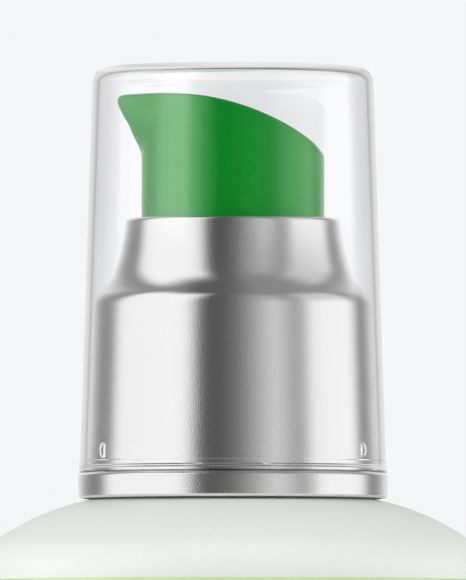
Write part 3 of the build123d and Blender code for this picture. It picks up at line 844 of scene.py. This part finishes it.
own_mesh(coil)


# ---------------------------------------------------------------- studio


def studio_walls(tree, way, stops, dim):
    """Return the studio's brightness by direction, from (azimuth, brightness) stops.

    Azimuths are in degrees, with -Y at 0 and +X at 90. The left box reaches higher than the right
    one, and a dim ceiling closes the room: dim holds its brightness at the left, overhead and at
    the right."""
    azimuth = combine(tree, "ARCTAN2", way["X"], combine(tree, "MULTIPLY", way["Y"], -1.0))
    share = share_between(tree, azimuth, -pi, pi)
    walls = ramp(tree, share, [((place + 180) / 360, value) for place, value in stops])
    middle = 0.18  # the left half goes over into the right one within this of straight ahead
    across = share_between(tree, way["X"], -middle, middle)
    ceiling = ramp(tree, across, list(zip((0.0, 0.5, 1.0), dim)))
    left = ramp(tree, way["Z"], [(0.0, 0.0), (0.79, 0.0), (0.91, 0.9), (0.95, 1.0)])
    right = ramp(tree, way["Z"], [(0.17, 0.0), (0.53, 0.47), (0.7, 0.52), (0.86, 1.0)])
    closed = mix_colours(tree, across, left, right)
    return mix_colours(tree, closed, walls, ceiling)


def background(tree, colour):
    """Add a background of a colour and return it."""
    return node(tree, "ShaderNodeBackground", {"Color": colour, "Strength": 1.0}).outputs["Background"]


def build_world():
    """Pale studio: soft boxes left and right, a dark gap round the camera and a pale wall behind.

    Sharp reflections, which only the cap gives, see cap_stops; all other light comes from
    room_stops; the camera sees the pale wall."""
    world = bpy.data.worlds.new("studio")
    bpy.context.scene.world = world
    world.use_nodes = True
    tree = world.node_tree
    tree.nodes.clear()
    out = tree.nodes.new("ShaderNodeOutputWorld")
    place = node(tree, "ShaderNodeTexCoord").outputs["Generated"]
    way = node(tree, "ShaderNodeSeparateXYZ", {"Vector": place}).outputs
    room_stops = [
        (-180, 0.9), (-160, 0.75), (-149, 0.5), (-141, 0.34), (-133, 0.25), (-123, 0.22), (-117, 0.27),
        (-113, 0.5), (-108, 0.84), (-102, 0.97), (-42, 0.97), (-36, 0.86), (-27, 0.13), (-20, 0.075),
        (-8, 0.1), (4, 0.19), (17, 0.39), (33, 0.7), (43, 0.57), (50, 0.4), (56, 0.37), (61, 0.53),
        (69, 0.95), (75, 0.98), (108, 0.98), (114, 0.84), (121, 0.32), (130, 0.23), (142, 0.42),
        (154, 0.75), (180, 0.9),
    ]
    cap_stops = [
        (-180, 1.0), (-158, 0.8), (-148, 0.45), (-122, 0.45), (-106, 1.2), (-80, 1.3), (-68, 1.5),
        (-60, 2.2), (-52, 2.55), (-40, 2.45), (-33, 1.2), (-24, 0.4), (-17, 0.2), (-12, 0.05),
        (-8, 0.03), (25, 0.03), (34, 0.25), (48, 0.65), (62, 1.05), (72, 1.05), (84, 1.5),
        (110, 1.85), (119, 0.5), (146, 0.4), (158, 0.8), (180, 1.0),
    ]
    room = background(tree, studio_walls(tree, way, room_stops, (0.1, 0.13, 0.27)))
    cap_room = background(tree, studio_walls(tree, way, cap_stops, (0.15, 0.2, 0.2)))
    fade = ramp(tree, way["Z"], [(0.3, 1.0), (0.75, 0.35)])
    wall = background(tree, mix_colours(tree, 1.0, fade, (0.913, 0.917, 0.937, 1.0), "MULTIPLY"))

    # The camera sees the wall, straight or through the cap without a reflection on the way.
    path = node(tree, "ShaderNodeLightPath").outputs
    unreflected = combine(tree, "LESS_THAN", path["Glossy Depth"], 0.5)
    straight = combine(tree, "MULTIPLY", path["Is Transmission Ray"], unreflected)
    seen = combine(tree, "MAXIMUM", path["Is Camera Ray"], straight)
    unseen = mix_shaders(tree, path["Is Singular Ray"], room, cap_room)
    tree.links.new(mix_shaders(tree, seen, unseen, wall), out.inputs["Surface"])


def soft_light(name, turn, tilt, away, size, power):
    """Add a soft light for matt surfaces, facing the bottle's neck.

    turn is its azimuth in degrees (-Y is 0 and +X is 90), tilt its height in degrees and away its
    distance."""
    data = bpy.data.lights.new(name, "AREA")
    data.shape = "DISK"
    data.size = size
    data.energy = power
    light = bpy.data.objects.new(name, data)
    level = away * cos(radians(tilt))
    height = neck_z + away * sin(radians(tilt))
    light.location = (level * sin(radians(turn)), -level * cos(radians(turn)), height)
    light.rotation_euler = (radians(90 - tilt), 0, radians(turn))
    light.visible_camera = False
    light.visible_glossy = False
    light.visible_transmission = False
    bpy.context.scene.collection.objects.link(light)


def build_floor():
    """Plain pale floor that fades into the wall behind it, and is mostly clear to reflections."""
    lower = 0.05 * MM  # the floor is this far below the bottle's foot
    fade_from, fade_to = 0.25, 0.95  # distances from the bottle
    clear_to_gloss = 0.85
    bpy.ops.mesh.primitive_plane_add(size=12.0, location=(0, 0, -lower))
    floor = bpy.context.object
    floor.name = "floor"
    mat, tree, out = new_material("floor")
    tone = ramp(tree, grain(tree, 3.0), [(0.3, (0.82, 0.825, 0.84)), (0.7, (0.835, 0.84, 0.855))])
    shader = principled(tree, {"Base Color": tone, "Roughness": 0.7})
    clear = node(tree, "ShaderNodeBsdfTransparent").outputs["BSDF"]
    path = node(tree, "ShaderNodeLightPath").outputs
    reflected = combine(tree, "GREATER_THAN", path["Glossy Depth"], 0.5)
    unseen = combine(tree, "MULTIPLY", reflected, clear_to_gloss)
    place = node(tree, "ShaderNodeTexCoord").outputs["Object"]
    reach = node(tree, "ShaderNodeVectorMath", {0: place}, operation="LENGTH").outputs["Value"]
    far = share_between(tree, reach, fade_from, fade_to, interpolation_type="SMOOTHSTEP")
    unseen = combine(tree, "MAXIMUM", unseen, far)
    finish_material(tree, out, mix_shaders(tree, unseen, shader, clear))
    floor.data.materials.append(mat)


def build_camera():
    """Long lens, level with the bottle's body and aimed up at the collar."""
    away, eye, aim = 1.232, neck_z - 32.0 * MM, neck_z + 5.1 * MM
    data = bpy.data.cameras.new("camera")
    data.sensor_width = 36.0
    data.lens = 956.0
    data.clip_end = 20.0
    camera = bpy.data.objects.new("camera", data)
    camera.location = (0.0, -away, eye)
    camera.rotation_euler = (pi / 2 + atan2(aim - eye, away), 0.0, 0.0)
    bpy.context.scene.collection.objects.link(camera)
    bpy.context.scene.camera = camera


build_world()
build_floor()
build_camera()
soft_light("key", turn=-58, tilt=16, away=1.2, size=0.7, power=10.8)
soft_light("fill", turn=70, tilt=16, away=1.2, size=0.7, power=10.2)
soft_light("top", turn=0, tilt=80, away=1.4, size=0.9, power=3.5)
bpy.context.scene.view_settings.view_transform = "Standard"
bpy.context.scene.view_settings.look = "None"
